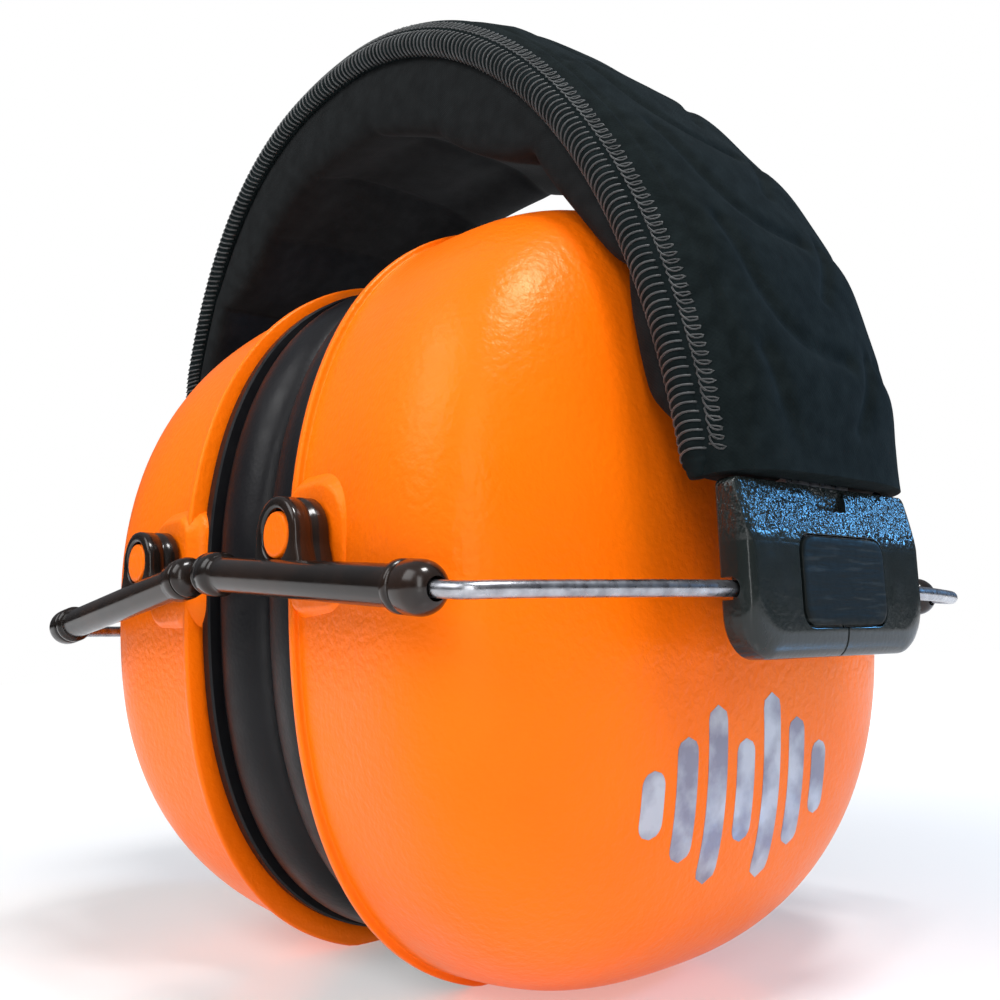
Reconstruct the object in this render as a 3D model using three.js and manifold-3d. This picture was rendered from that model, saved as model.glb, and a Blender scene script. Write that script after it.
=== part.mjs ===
// Folding hearing-protection earmuffs, shown folded: both cups stand upright under the headband with
// their cushions face to face. Millimetres, +Z up, X from ear to ear (wearer's left is +X), front is -Y.
// The origin is on the surface the cups stand on, under the middle of the whole. Sizes below are
// counted from the plane between the cups, which the leaning band puts a little to +X of the origin.

import * as THREE from 'three';
import { mergeVertices } from 'three/addons/utils/BufferGeometryUtils.js';
import Module from 'manifold-3d';

const wasm = await Module();
wasm.setup();

// ---------------------------------------------------------------- driving dimensions

const GAP = 0.3;                 // free space between pieces that touch
const CUPS_X = 2.6;              // where the plane between the cups is

// ear cups: superellipse outlines stacked along X, from the rim to the crown
const CUP_WIDTH = 90;
const CUP_HEIGHT = 112;
const RIM_X = 14.8;
const CROWN_X = 53;
const TOP_POWER = 2.28;          // roundness of the outline's upper half
const BOTTOM_POWER = 2.55;       // the lower half is squarer
const BULGE = 0.139;             // how much the walls swell sideways towards the crown,
const TOP_TAPER = 0.065;         // and draw in above
const BOTTOM_TAPER = 0.147;      // and below
const WALL = 2.6;
const LIP = 0.9;                 // rim flange, proud of the wall
const FOOT_CUT = 0.9;            // how much of the underside the standing flat takes off

// ear cushions
const CUSHION_GAP = 0.25;        // half the space between the two cushions
const CUSHION_BACK = 12;
const OPENING_WIDTH = 44;
const OPENING_HEIGHT = 68;

// foam in the crown of each cup: x, width and height of its outlines
const FOAM = [[31, 76, 92], [40, 70, 84], [46.5, 52, 62]];

// studs on the cup's front and rear walls, which the sleeves' lugs turn on
const STUD = { x: 20.9, z: 61, radius: 2.9, face: 51.2 };
const STUD_PAD = { root: 43.2, above: 6.5, below: 9, beyond: 7, corner: 3 };
const LUG = { radius: 4.8, inner: 46.2, outer: 51.2, foot: 6.4, seat: 5.4 };

// telescoping arms: axis from the ball end inwards, slightly rising
const BALL = { x: 49.8, y: 50.8, z: 52.6, radius: 2.95 };
const ARM_RISE = Math.atan2(5, 46.9);
const SLEEVE_LENGTH = 46.2;
const TUBE_RADIUS = 2.35;
const BORE_RADIUS = 1.85;
const MOUTH_RADIUS = 1.3;

// spring-steel wire yoke
const WIRE_RADIUS = 0.95;
const ARM_LENGTH = 41;
const AXLE = { x: 64.4, z: 52 };  // the crosspiece's straight middle, which turns in the end box

// end boxes of the headband
const BOX = { inner: 62.9, outer: 67.3, halfWidth: 19, bottom: 44, top: 64.6, corner: 5 };
const PANEL = { halfWidth: 9.3, bottom: 47.4, top: 58.4, corner: 2.2 };
const CLAMP = { inner: 60.3, outer: 62.6, halfWidth: 13, bottom: 45.6, top: 60.4 };
const SCREW = { y: 10.2, z: 57, head: 1.6, rim: 0.8, shank: 0.8, length: 4.6 };

// headband: outer line of the arch. The soft band leans towards -X, bulges out on that side, and is
// tucked back in to its end box between two heights.
const ARCH = { centre: -8, left: 76, right: 72, base: 55, rise: 96, rightPower: 2.25 };
const TUCK = { depth: 12, from: 62, to: 108 };
const BAND_WIDTH = 40;
const CROWN_WIDTH = 44;
const COVER_THICKNESS = 2.6;
const SPRING = { width: 14, thickness: 1.2 };

// the band's whole thickness at its ends, arms and crown, its rolled edges and its soft lobes
const PAD = { end: 6.5, arm: 8, crown: 15.5, edge: 3.2, lobes: 9, lobeDepth: 1.2 };

// ---------------------------------------------------------------- materials

const finish = (color, roughness, metalness = 0) =>
  new THREE.MeshStandardMaterial({ color, roughness, metalness });

const orange = finish(0xff7a0a, 0.45);
const glossBlack = finish(0x141210, 0.25);
const satinBlack = finish(0x2b3331, 0.5);
const fabric = finish(0x161e22, 0.95);
const lining = finish(0x2c2f31, 0.7);
const vinyl = finish(0x121314, 0.45);
const foam = finish(0x303234, 1.0);
const steel = finish(0x9aa0a6, 0.3, 1);

// ---------------------------------------------------------------- helpers

const object = new THREE.Group();

/** Adds a named piece to a group. */
function add(group, name, geometry, material) {
  const mesh = new THREE.Mesh(geometry, material);
  mesh.name = name;
  group.add(mesh);
  return mesh;
}

/** A copy with nothing but positions, its shared vertices merged. */
function merge(geometry) {
  const bare = geometry.clone();
  bare.deleteAttribute('normal');
  bare.deleteAttribute('uv');
  return mergeVertices(bare, 1e-4);
}

/** A closed geometry as a solid that can be joined and cut. */
function solid(geometry) {
  const merged = merge(geometry);
  const mesh = new wasm.Mesh({
    numProp: 3,
    vertProperties: new Float32Array(merged.attributes.position.array),
    triVerts: new Uint32Array(merged.index.array),
  });
  return new wasm.Manifold(mesh);
}

/** A solid back as a geometry. */
function geometryOf(manifold) {
  const mesh = manifold.getMesh();
  const geometry = new THREE.BufferGeometry();
  geometry.setAttribute('position', new THREE.BufferAttribute(mesh.vertProperties, 3));
  geometry.setIndex(new THREE.BufferAttribute(mesh.triVerts, 1));
  return geometry;
}

/** Joins and cuts: base + added pieces - cut pieces. */
function carve(base, added = [], cuts = []) {
  let body = solid(base);
  for (const piece of added) body = body.add(solid(piece));
  for (const piece of cuts) body = body.subtract(solid(piece));
  return geometryOf(body);
}

/**
 * Skins a list of rings, each with the same number of [x, y, z] points. A closed loft joins its last
 * ring to its first; an open one ends in flat caps cut from the flat outline given for each end.
 */
function loft(rings, { closed = false, outlines = null } = {}) {
  const count = rings[0].length;
  const positions = rings.flat(2);
  const index = [];
  const bands = closed ? rings.length : rings.length - 1;
  for (let r = 0; r < bands; r++) {
    const a = r * count;
    const b = ((r + 1) % rings.length) * count;
    for (let i = 0; i < count; i++) {
      const j = (i + 1) % count;
      index.push(a + i, a + j, b + j, a + i, b + j, b + i);
    }
  }
  if (!closed) {
    const ends = [0, rings.length - 1];
    ends.forEach((ring, k) => {
      const outline = outlines[k].map(([u, v]) => new THREE.Vector2(u, v));
      for (const [p, q, s] of THREE.ShapeUtils.triangulateShape(outline, [])) {
        const corner = [p, q, s].map((n) => ring * count + n);
        const outward = THREE.ShapeUtils.isClockWise(outline) === (k === 0);
        index.push(...(outward ? corner : corner.reverse()));
      }
    });
  }
  const geometry = new THREE.BufferGeometry();
  geometry.setAttribute('position', new THREE.Float32BufferAttribute(positions, 3));
  geometry.setIndex(index);
  return outward(geometry);
}

/** Turns a closed geometry's faces outwards if its volume comes out negative. */
function outward(geometry) {
  const position = geometry.attributes.position;
  const index = geometry.index.array;
  const [a, b, c] = [new THREE.Vector3(), new THREE.Vector3(), new THREE.Vector3()];
  let volume = 0;
  for (let i = 0; i < index.length; i += 3) {
    a.fromBufferAttribute(position, index[i]);
    b.fromBufferAttribute(position, index[i + 1]);
    c.fromBufferAttribute(position, index[i + 2]);
    volume += a.dot(b.cross(c));
  }
  if (volume < 0) geometry.setIndex([...index].reverse());
  return geometry;
}

/** Extrudes a (y, z) outline along X. */
function extrudeX(shape, from, to, curveSegments = 4) {
  const options = { depth: to - from, bevelEnabled: false, curveSegments };
  const geometry = new THREE.ExtrudeGeometry(shape, options);
  const turn = new THREE.Matrix4().makeBasis(
    new THREE.Vector3(0, 1, 0), new THREE.Vector3(0, 0, 1), new THREE.Vector3(1, 0, 0));
  return geometry.applyMatrix4(turn).translate(from, 0, 0);
}

/** Extrudes an (x, z) outline along Y. */
function extrudeY(shape, from, to, curveSegments = 6) {
  const options = { depth: to - from, bevelEnabled: false, curveSegments };
  const geometry = new THREE.ExtrudeGeometry(shape, options);
  return geometry.rotateX(Math.PI / 2).translate(0, to, 0);
}

/** A bar along Y or X between two stations. */
function barY(radius, x, z, from, to, sides = 16) {
  return new THREE.CylinderGeometry(radius, radius, to - from, sides).translate(x, (from + to) / 2, z);
}

function barX(radius, y, z, from, to, sides = 10) {
  return new THREE.CylinderGeometry(radius, radius, to - from, sides)
    .rotateZ(Math.PI / 2).translate((from + to) / 2, y, z);
}

function block(x0, x1, y0, y1, z0, z1) {
  return new THREE.BoxGeometry(x1 - x0, y1 - y0, z1 - z0)
    .translate((x0 + x1) / 2, (y0 + y1) / 2, (z0 + z1) / 2);
}

/** A rectangle with rounded corners; the two top corners may have a radius of their own. */
function roundedRectangle(left, right, bottom, top, radius, topRadius = radius) {
  const shape = new THREE.Shape();
  shape.moveTo(left + radius, bottom);
  shape.lineTo(right - radius, bottom);
  shape.absarc(right - radius, bottom + radius, radius, -Math.PI / 2, 0);
  shape.lineTo(right, top - topRadius);
  shape.absarc(right - topRadius, top - topRadius, topRadius, 0, Math.PI / 2);
  shape.lineTo(left + topRadius, top);
  shape.absarc(left + topRadius, top - topRadius, topRadius, Math.PI / 2, Math.PI);
  shape.lineTo(left, bottom + radius);
  shape.absarc(left + radius, bottom + radius, radius, Math.PI, 1.5 * Math.PI);
  return shape;
}

/** A polygon as a shape. */
function polygon(points) {
  return new THREE.Shape(points.map(([u, v]) => new THREE.Vector2(u, v)));
}

const smoothstep = (low, high, value) => THREE.MathUtils.smoothstep(value, low, high);

// ---------------------------------------------------------------- ear cups

const SEGMENTS = 32;

/**
 * One superellipse ring at the given x, above and below the height middle; the lower half never
 * passes below floor.
 */
function ovalRing(x, outline, segments = SEGMENTS) {
  const { width, above, below = above, middle = CUP_HEIGHT / 2, floor = 0 } = outline;
  const ring = [];
  for (let i = 0; i < segments; i++) {
    const angle = (2 * Math.PI * i) / segments;
    const [c, s] = [Math.cos(angle), Math.sin(angle)];
    const power = s > 0 ? TOP_POWER : BOTTOM_POWER;
    const y = (width / 2) * Math.sign(c) * Math.abs(c) ** (2 / power);
    const rise = (s > 0 ? above : below) * Math.sign(s) * Math.abs(s) ** (2 / power);
    ring.push([x, y, Math.max(middle + rise, floor)]);
  }
  return ring;
}

/** The cup's outline at a depth between 0 (rim) and 1 (crown), drawn in by an offset. */
function cupRing(depth, x, offset, floor) {
  const size = (1 - depth ** 4.5) ** 0.288;
  const half = (CUP_HEIGHT / 2) * size;
  return ovalRing(x, {
    width: CUP_WIDTH * size * (1 + BULGE * depth ** 2) - 2 * offset,
    above: half * (1 - TOP_TAPER * depth ** 2) - offset,
    below: half * (1 - BOTTOM_TAPER * depth ** 2) - offset,
    middle: CUP_HEIGHT / 2 - FOOT_CUT,
    floor,
  });
}

const flat = (ring) => ring.map(([, y, z]) => [y, z]);

/** Cup shell: rim flange, walls, crown, and the two studs on pads that carry the sleeves' lugs. */
function cupShell() {
  const depths = [0.04, 0.25, 0.5, 0.7, 0.83, 0.92, 0.975];
  const span = CROWN_X - RIM_X;
  const rings = [cupRing(0, RIM_X, -LIP, 0), cupRing(0, RIM_X + 1.3, -LIP, 0)];
  for (const depth of depths) rings.push(cupRing(depth, RIM_X + span * depth, 0, 0));
  rings.push(cupRing(0.997, CROWN_X, 0, 0));
  const outer = loft(rings, { outlines: [flat(rings[0]), flat(rings.at(-1))] });
  const cavity = [cupRing(0, RIM_X - 1, WALL, WALL)];
  for (const depth of [0.3, 0.7, 0.92]) {
    cavity.push(cupRing(depth, RIM_X + (span - WALL) * depth, WALL, WALL));
  }
  cavity.push(cupRing(0.985, CROWN_X - WALL, WALL, WALL));
  const hollow = loft(cavity, { outlines: [flat(cavity[0]), flat(cavity.at(-1))] });
  const { root, above, below, beyond, corner } = STUD_PAD;
  const pad = roundedRectangle(RIM_X + 0.4, STUD.x + beyond, STUD.z - below, STUD.z + above, corner);
  const studs = [
    barY(STUD.radius, STUD.x, STUD.z, root, STUD.face),
    barY(STUD.radius, STUD.x, STUD.z, -STUD.face, -root),
    extrudeY(pad, root, LUG.inner - GAP),
    extrudeY(pad, GAP - LUG.inner, -root),
  ];
  return carve(outer, studs, [hollow]);
}

/** The cushion's plate that snaps onto the rim: a flat ring. */
function cushionPlate() {
  const ring = (x, outside) => ovalRing(x, outside
    ? { width: CUP_WIDTH - 3, above: (CUP_HEIGHT - 3) / 2, floor: 0.6 }
    : { width: OPENING_WIDTH + 2, above: (OPENING_HEIGHT + 2) / 2 });
  const [back, front] = [RIM_X - GAP, CUSHION_BACK + GAP];
  return loft([ring(back, true), ring(front, true), ring(front, false), ring(back, false)], { closed: true });
}

/**
 * A ring with a D-shaped section round the ear opening. Inset shrinks the section on all its sides,
 * so the foam core is the same shape as the skin round it.
 */
function cushionRing(inset, back) {
  const face = CUSHION_GAP + inset;
  const section = [[back, 0], [face + 3.4, 0.04], [face, 0.3], [face, 0.7], [face + 3.4, 0.98], [back, 1]];
  return section.map(([x, across]) => {
    const mix = (outer, inner) => THREE.MathUtils.lerp(outer - 2 * inset, inner + 2 * inset, across);
    return ovalRing(x, {
      width: mix(CUP_WIDTH - 3.5, OPENING_WIDTH),
      above: mix(CUP_HEIGHT - 3.5, OPENING_HEIGHT) / 2,
    });
  });
}

/** Vinyl skin: a sheath open at the back, filled by the foam core. */
function cushionSkin() {
  const outer = cushionRing(0, CUSHION_BACK);
  const inner = cushionRing(1, CUSHION_BACK).reverse();
  return loft([...outer, ...inner], { closed: true });
}

const cushionCore = () => loft(cushionRing(1 + GAP, CUSHION_BACK), { closed: true });

/** Sound-absorbing foam pressed into the cup's crown. */
function foamLiner() {
  const rings = FOAM.map(([x, width, height]) => ovalRing(x, { width, above: height / 2 }, 24));
  return loft(rings, { outlines: [flat(rings[0]), flat(rings.at(-1))] });
}

// ---------------------------------------------------------------- sleeves and yokes

/** Lathe profiles are (radius, distance along the arm from the ball's centre), inwards positive. */
function turned(profile, sides = 12) {
  return new THREE.LatheGeometry(profile.map(([r, s]) => new THREE.Vector2(r, s)), sides);
}

/** Sleeve: ball mouth, tube and end flange turned in one, with the lug that holds the cup's stud. */
function sleeve() {
  const { radius } = BALL;
  const mouth = Math.sqrt(radius ** 2 - MOUTH_RADIUS ** 2);
  const arc = [0.3, 0.62].map((k) => [radius * Math.sin(0.46 + k * 1.1), -radius * Math.cos(0.46 + k * 1.1)]);
  const end = SLEEVE_LENGTH;
  const profile = [[MOUTH_RADIUS, -mouth], ...arc, [radius, 0], [radius, 3.4], [TUBE_RADIUS, 4],
    [TUBE_RADIUS, end - 3], [radius, end - 2.4], [radius, end], [BORE_RADIUS, end], [BORE_RADIUS, 3.6],
    [MOUTH_RADIUS, 2.8], [MOUTH_RADIUS, -mouth]];
  return outward(merge(turned(profile)));
}

/** The plug and dome that close a sleeve's inner end. */
function sleeveCap() {
  const end = SLEEVE_LENGTH;
  return turned([[0, end - 2.4], [BORE_RADIUS - GAP, end - 2.4], [BORE_RADIUS - GAP, end + GAP],
    [BALL.radius - 0.1, end + GAP], [BALL.radius - 0.2, end + 1.1], [BALL.radius - 1, end + 1.9],
    [0, end + 2.3]]);
}

/** The stopper on the wire's end, which keeps the arm from leaving the sleeve. */
function wireStop() {
  const [start, end, hole] = [ARM_LENGTH - 2.6, ARM_LENGTH + 1.2, WIRE_RADIUS + GAP];
  return turned([[0, ARM_LENGTH + GAP], [hole, ARM_LENGTH + GAP], [hole, start], [BORE_RADIUS - GAP, start],
    [BORE_RADIUS - GAP, end], [0, end]], 10);
}

/** A group at a sleeve's ball whose own +Y runs inwards along the arm. side is -1 at the front. */
function armFrame(side) {
  const frame = new THREE.Group();
  frame.position.set(BALL.x, side * BALL.y, BALL.z);
  frame.rotation.z = Math.PI / 2;
  frame.rotation.order = 'YZX';
  frame.rotation.y = ARM_RISE;
  return frame;
}

/** Lug in the sleeve's place: an arched ear over the tube with a hole for the stud. */
function sleeveWithLug(side) {
  const frame = armFrame(side);
  frame.updateMatrixWorld(true);
  const tube = sleeve().applyMatrix4(frame.matrixWorld);
  const { radius, inner, outer, foot } = LUG;
  const outline = new THREE.Shape();
  const seat = STUD.z - LUG.seat;
  outline.moveTo(STUD.x + foot, seat);
  outline.lineTo(STUD.x + radius, STUD.z);
  outline.absarc(STUD.x, STUD.z, radius, 0, Math.PI);
  outline.lineTo(STUD.x - foot, seat + 0.6);
  const [from, to] = side > 0 ? [inner, outer] : [-outer, -inner];
  const ear = extrudeY(outline, from, to);
  const hole = barY(STUD.radius + GAP, STUD.x, STUD.z, from - 1, to + 1);
  const bore = turned([[0, 4], [BORE_RADIUS, 4], [BORE_RADIUS, SLEEVE_LENGTH + 1], [0, SLEEVE_LENGTH + 1]])
    .applyMatrix4(frame.matrixWorld);
  return carve(tube, [ear], [hole, bore]);
}

/** The yoke's centre line: arm, tight corner, bowed crosspiece with a straight middle, and back. */
function yokePath() {
  const inward = new THREE.Vector3(-Math.cos(ARM_RISE), 0, Math.sin(ARM_RISE));
  const ball = new THREE.Vector3(BALL.x, -BALL.y, BALL.z);
  const along = (distance) => ball.clone().addScaledVector(inward, distance);
  const half = [along(ARM_LENGTH), along(20), along(2), along(-3.4),
    new THREE.Vector3(55.6, -49.9, 52), new THREE.Vector3(57.4, -47, AXLE.z),
    new THREE.Vector3(60.6, -37, AXLE.z), new THREE.Vector3(63.4, -26, AXLE.z),
    new THREE.Vector3(AXLE.x, -19, AXLE.z), new THREE.Vector3(AXLE.x, -14, AXLE.z)];
  const mirrored = half.map((p) => new THREE.Vector3(p.x, -p.y, p.z)).reverse();
  return new THREE.CatmullRomCurve3([...half, ...mirrored], false, 'centripetal');
}

function yokeWire() {
  const section = new THREE.Shape();
  section.absarc(0, 0, WIRE_RADIUS, 0, 2 * Math.PI);
  return new THREE.ExtrudeGeometry(section, { extrudePath: yokePath(), steps: 46, curveSegments: 4 });
}

// ---------------------------------------------------------------- end boxes

/** Box on the band's end: outer shell with the wire's groove, the spring's pocket and a panel recess. */
function endBox() {
  const { inner, outer, halfWidth, bottom, top, corner } = BOX;
  const front = extrudeX(roundedRectangle(-halfWidth, halfWidth, bottom, top, corner, 1.2), inner, outer);
  const side = extrudeY(polygon([[inner - 1, bottom - 1], [outer - 1.8, bottom - 1], [outer - 1.8, bottom],
    [outer - 0.5, bottom + 1.1], [outer, bottom + 2.8], [outer, 57.6], [outer - 0.5, 59.6],
    [outer - 1.7, top + 1], [inner - 1, top + 1]]), -halfWidth - 1, halfWidth + 1);
  const groove = WIRE_RADIUS + GAP;
  const { y, z, shank } = SCREW;
  const recess = roundedRectangle(-PANEL.halfWidth, PANEL.halfWidth, PANEL.bottom, PANEL.top, PANEL.corner);
  const pocket = ARCH.centre + ARCH.left - SPRING_DEPTH;
  const cuts = [
    block(inner - 1, AXLE.x, -25, 25, AXLE.z - groove, AXLE.z + groove),
    barY(groove, AXLE.x, AXLE.z, -25, 25, 16),
    block(pocket - 1.4, pocket + 1, -SPRING.width / 2 - GAP, SPRING.width / 2 + GAP, 56.2, top + 1),
    extrudeX(recess, outer - 0.7, outer + 1),
    block(outer - 0.35, outer + 1, -0.2, 0.2, bottom - 1, PANEL.bottom + 0.5),
    extrudeX(polygon([[-3, 61.6], [3, 61.6], [4.2, top + 1], [-4.2, top + 1]]), outer - 1.7, outer + 1),
    barX(shank + GAP, -y, z, inner - 1, inner + 3),
    barX(shank + GAP, y, z, inner - 1, inner + 3),
  ];
  let body = solid(front).intersect(solid(side));
  for (const cut of cuts) body = body.subtract(solid(cut));
  return geometryOf(body);
}

/** Blank panel set in the box's outer face. */
function endPanel() {
  const { halfWidth, bottom, top, corner } = PANEL;
  const outline = roundedRectangle(-halfWidth + GAP, halfWidth - GAP, bottom + GAP, top - GAP, corner - GAP);
  return extrudeX(outline, BOX.outer - 0.7 + GAP, BOX.outer + 0.25);
}

/** Inner plate that shuts the wire's groove, with a rib that keeps the wire down in it. */
function endClamp() {
  const { inner, outer, halfWidth, bottom, top } = CLAMP;
  const plate = extrudeX(roundedRectangle(-halfWidth, halfWidth, bottom, top, 2), inner, outer);
  const ribEnd = AXLE.x - WIRE_RADIUS - GAP;
  const rib = block(outer - 0.5, ribEnd, 1 - halfWidth, halfWidth - 1, AXLE.z - 0.9, AXLE.z + 0.9);
  const cuts = [];
  for (const y of [-SCREW.y, SCREW.y]) {
    cuts.push(barX(SCREW.head + GAP, y, SCREW.z, inner - 1, inner + 1.2));
    cuts.push(barX(SCREW.shank + GAP, y, SCREW.z, inner - 1, outer + 1));
  }
  return carve(plate, [rib], cuts);
}

/** Slotted screw, its head sunk in the clamp. */
function clampScrew(y) {
  const { z, head, shank, rim, length } = SCREW;
  const top = CLAMP.inner + 0.1;
  const profile = [[0, 0], [head, 0], [head, rim], [shank, rim], [shank, length], [0, length]];
  const body = turned(profile).rotateZ(-Math.PI / 2).translate(top, y, z);
  return carve(body, [], [block(top - 1, top + 0.4, y - 0.2, y + 0.2, z - 3, z + 3)]);
}

// ---------------------------------------------------------------- headband

/** Point on the arch's outer line for an angle from 0 (left end) to pi (right end). */
function archPoint(angle) {
  const [c, s] = [Math.cos(angle), Math.sin(angle)];
  if (c >= 0) return new THREE.Vector2(ARCH.centre + ARCH.left * c, ARCH.base + ARCH.rise * s);
  const power = 2 / ARCH.rightPower;
  const z = ARCH.base + ARCH.rise * s ** power;
  const tucked = TUCK.depth * (1 - smoothstep(TUCK.from, TUCK.to, z));
  const x = ARCH.centre - ARCH.right * (-c) ** power + tucked;
  return new THREE.Vector2(x, z);
}

/** Point at a depth inside the arch's outer line. */
function archInside(angle, depth) {
  const step = 1e-3;
  const tangent = archPoint(angle + step).sub(archPoint(angle - step)).normalize();
  const inward = new THREE.Vector2(-tangent.y, tangent.x);
  return archPoint(angle).addScaledVector(inward, depth);
}

const SPRING_DEPTH = COVER_THICKNESS + 1.5 * GAP + SPRING.thickness / 2;

/** The angle at which the arch's outer line reaches a height, on the left or the right. */
function archAngle(z, right) {
  const share = (z - ARCH.base) / ARCH.rise;
  return right ? Math.PI - Math.asin(share ** (ARCH.rightPower / 2)) : Math.asin(share);
}

const FABRIC_Z = BOX.top + 0.8;
const SPRING_END_Z = 57;
const FABRIC_SPAN = [archAngle(FABRIC_Z, false), archAngle(FABRIC_Z, true)];
const SPRING_SPAN = [archAngle(SPRING_END_Z, false), archAngle(SPRING_END_Z, true)];

/** 0 at the band's ends and 1 at its crown. */
const crown = (t) => Math.sin(Math.PI * t) ** 0.8;

/** Sweeps a section along the arch. The section takes t from 0 to 1 and gives [y, depth] points. */
function bandSweep(section, startAngle, endAngle, steps) {
  const rings = [];
  for (let i = 0; i <= steps; i++) {
    const t = i / steps;
    const angle = THREE.MathUtils.lerp(startAngle, endAngle, t);
    rings.push(section(t).map(([y, depth]) => {
      const p = archInside(angle, depth);
      return [p.x, y, p.y];
    }));
  }
  return loft(rings, { outlines: [section(0), section(1)] });
}

const halfWidthAt = (t) => THREE.MathUtils.lerp(BAND_WIDTH, CROWN_WIDTH, crown(t)) / 2;

/** Padded outer cover, a little crowned across its width. */
function bandCover() {
  const section = (t) => {
    const w = halfWidthAt(t);
    return [[-w, 1.7], [-w + 1.6, 0.5], [-w + 7, 0], [w - 7, 0], [w - 1.6, 0.5], [w, 1.7],
      [w - 0.6, COVER_THICKNESS], [-w + 0.6, COVER_THICKNESS]];
  };
  return bandSweep(section, ...FABRIC_SPAN, 36);
}

/** The band's whole thickness at mid width, and how much thicker it is at its rolled edges. */
function padDepths(t) {
  const reach = Math.min(t, 1 - t);
  const arm = (PAD.arm - PAD.end) * smoothstep(0, 0.05, reach);
  const top = (PAD.crown - PAD.arm) * smoothstep(0.14, 0.32, reach);
  const lobe = PAD.lobeDepth * smoothstep(0, 0.04, reach) * Math.abs(Math.sin(Math.PI * PAD.lobes * t));
  return [PAD.end + arm + top + lobe, PAD.edge * smoothstep(0, 0.06, reach)];
}

/** Inner pad: thin at the ends, thick and lobed at the crown, with a channel for the spring strip. */
function bandPad() {
  const seat = COVER_THICKNESS + GAP;
  const channel = seat + SPRING.thickness + 2 * GAP;
  const c = SPRING.width / 2 + GAP;
  const section = (t) => {
    const w = halfWidthAt(t) - 0.4;
    const [middle, edge] = padDepths(t);
    const rim = middle + edge;
    return [[-w, seat], [-c, seat], [-c, channel], [c, channel], [c, seat], [w, seat],
      [w + 0.3, rim - 1.9], [w - 2.4, rim], [w - 10, middle], [-w + 10, middle],
      [-w + 2.4, rim], [-w - 0.3, rim - 1.9]];
  };
  return bandSweep(section, ...FABRIC_SPAN, 54);
}

/** Spring-steel strip that carries the clamping force; its ends sit in the boxes' pockets. */
function bandSpring() {
  const [near, far] = [SPRING_DEPTH - SPRING.thickness / 2, SPRING_DEPTH + SPRING.thickness / 2];
  const w = SPRING.width / 2;
  return bandSweep(() => [[-w, near], [w, near], [w, far], [-w, far]], ...SPRING_SPAN, 36);
}

// ---------------------------------------------------------------- assembly

object.position.x = CUPS_X;
add(object, 'band_cover', bandCover(), fabric);
add(object, 'band_pad', bandPad(), lining);
add(object, 'band_spring', bandSpring(), steel);

for (const [side, direction] of [['left', 1], ['right', -1]]) {
  const half = new THREE.Group();
  half.scale.x = direction;
  object.add(half);

  add(half, `end_box_${side}`, endBox(), satinBlack);
  add(half, `end_panel_${side}`, endPanel(), satinBlack);
  add(half, `end_clamp_${side}`, endClamp(), satinBlack);
  add(half, `clamp_screw_${side}_front`, clampScrew(-SCREW.y), steel);
  add(half, `clamp_screw_${side}_rear`, clampScrew(SCREW.y), steel);
  add(half, `yoke_wire_${side}`, yokeWire(), steel);

  for (const [end, y] of [['front', -1], ['rear', 1]]) {
    add(half, `sleeve_${side}_${end}`, sleeveWithLug(y), glossBlack);
    const arm = armFrame(y);
    half.add(arm);
    add(arm, `sleeve_cap_${side}_${end}`, sleeveCap(), glossBlack);
    add(arm, `wire_stop_${side}_${end}`, wireStop(), glossBlack);
  }

  add(half, `cup_shell_${side}`, cupShell(), orange);
  add(half, `foam_liner_${side}`, foamLiner(), foam);
  add(half, `cushion_plate_${side}`, cushionPlate(), satinBlack);
  add(half, `cushion_core_${side}`, cushionCore(), foam);
  add(half, `cushion_skin_${side}`, cushionSkin(), vinyl);
}

export default object;
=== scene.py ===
"""Folding hearing-protection earmuffs: the looks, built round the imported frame.

The build functions work in millimetres, with X counted from the plane between the two cups and the left side
drawn; in_frame() turns their points into metres in the row frame and mirrors them for the right side.
"""

import math

import bmesh
import bpy
import numpy as np
from mathutils import Matrix, Vector
from mathutils.bvhtree import BVHTree


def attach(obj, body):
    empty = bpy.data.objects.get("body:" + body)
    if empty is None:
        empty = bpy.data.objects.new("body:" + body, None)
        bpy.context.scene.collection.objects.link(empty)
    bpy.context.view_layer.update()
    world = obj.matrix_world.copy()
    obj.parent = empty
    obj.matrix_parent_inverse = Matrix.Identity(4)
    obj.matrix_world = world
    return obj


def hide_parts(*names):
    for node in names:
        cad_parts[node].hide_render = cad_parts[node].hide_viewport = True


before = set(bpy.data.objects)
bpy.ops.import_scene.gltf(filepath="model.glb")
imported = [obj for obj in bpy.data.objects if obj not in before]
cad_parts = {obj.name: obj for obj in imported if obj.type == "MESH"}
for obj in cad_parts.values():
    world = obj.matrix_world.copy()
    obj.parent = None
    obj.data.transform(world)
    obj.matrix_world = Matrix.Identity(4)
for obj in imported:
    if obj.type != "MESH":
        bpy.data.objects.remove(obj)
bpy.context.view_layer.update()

# ---------------------------------------------------------------- driving dimensions, as in the part

MM = 0.001
CUPS_X = 2.6
GAP = 0.3
CUP_WIDTH, CUP_HEIGHT, RIM_X, CROWN_X = 90, 112, 14.8, 53
TOP_POWER, BOTTOM_POWER = 2.28, 2.55
BULGE, TOP_TAPER, BOTTOM_TAPER = 0.139, 0.065, 0.147
WALL, LIP, FOOT_CUT = 2.6, 0.9, 0.9
CUSHION_GAP, CUSHION_BACK = 0.25, 12
OPENING_WIDTH, OPENING_HEIGHT = 44, 68
STUD = dict(x=20.9, z=61, radius=2.9, face=51.2)
LUG = dict(radius=4.8, inner=46.2, outer=51.2, foot=6.4, seat=5.4)
BALL = dict(x=49.8, y=50.8, z=52.6, radius=2.95)
ARM_RISE = math.atan2(5, 46.9)
SLEEVE_LENGTH, TUBE_RADIUS, BORE_RADIUS, MOUTH_RADIUS = 46.2, 2.35, 1.85, 1.3
WIRE_RADIUS, ARM_LENGTH = 0.95, 41
AXLE = dict(x=64.4, z=52)
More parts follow.
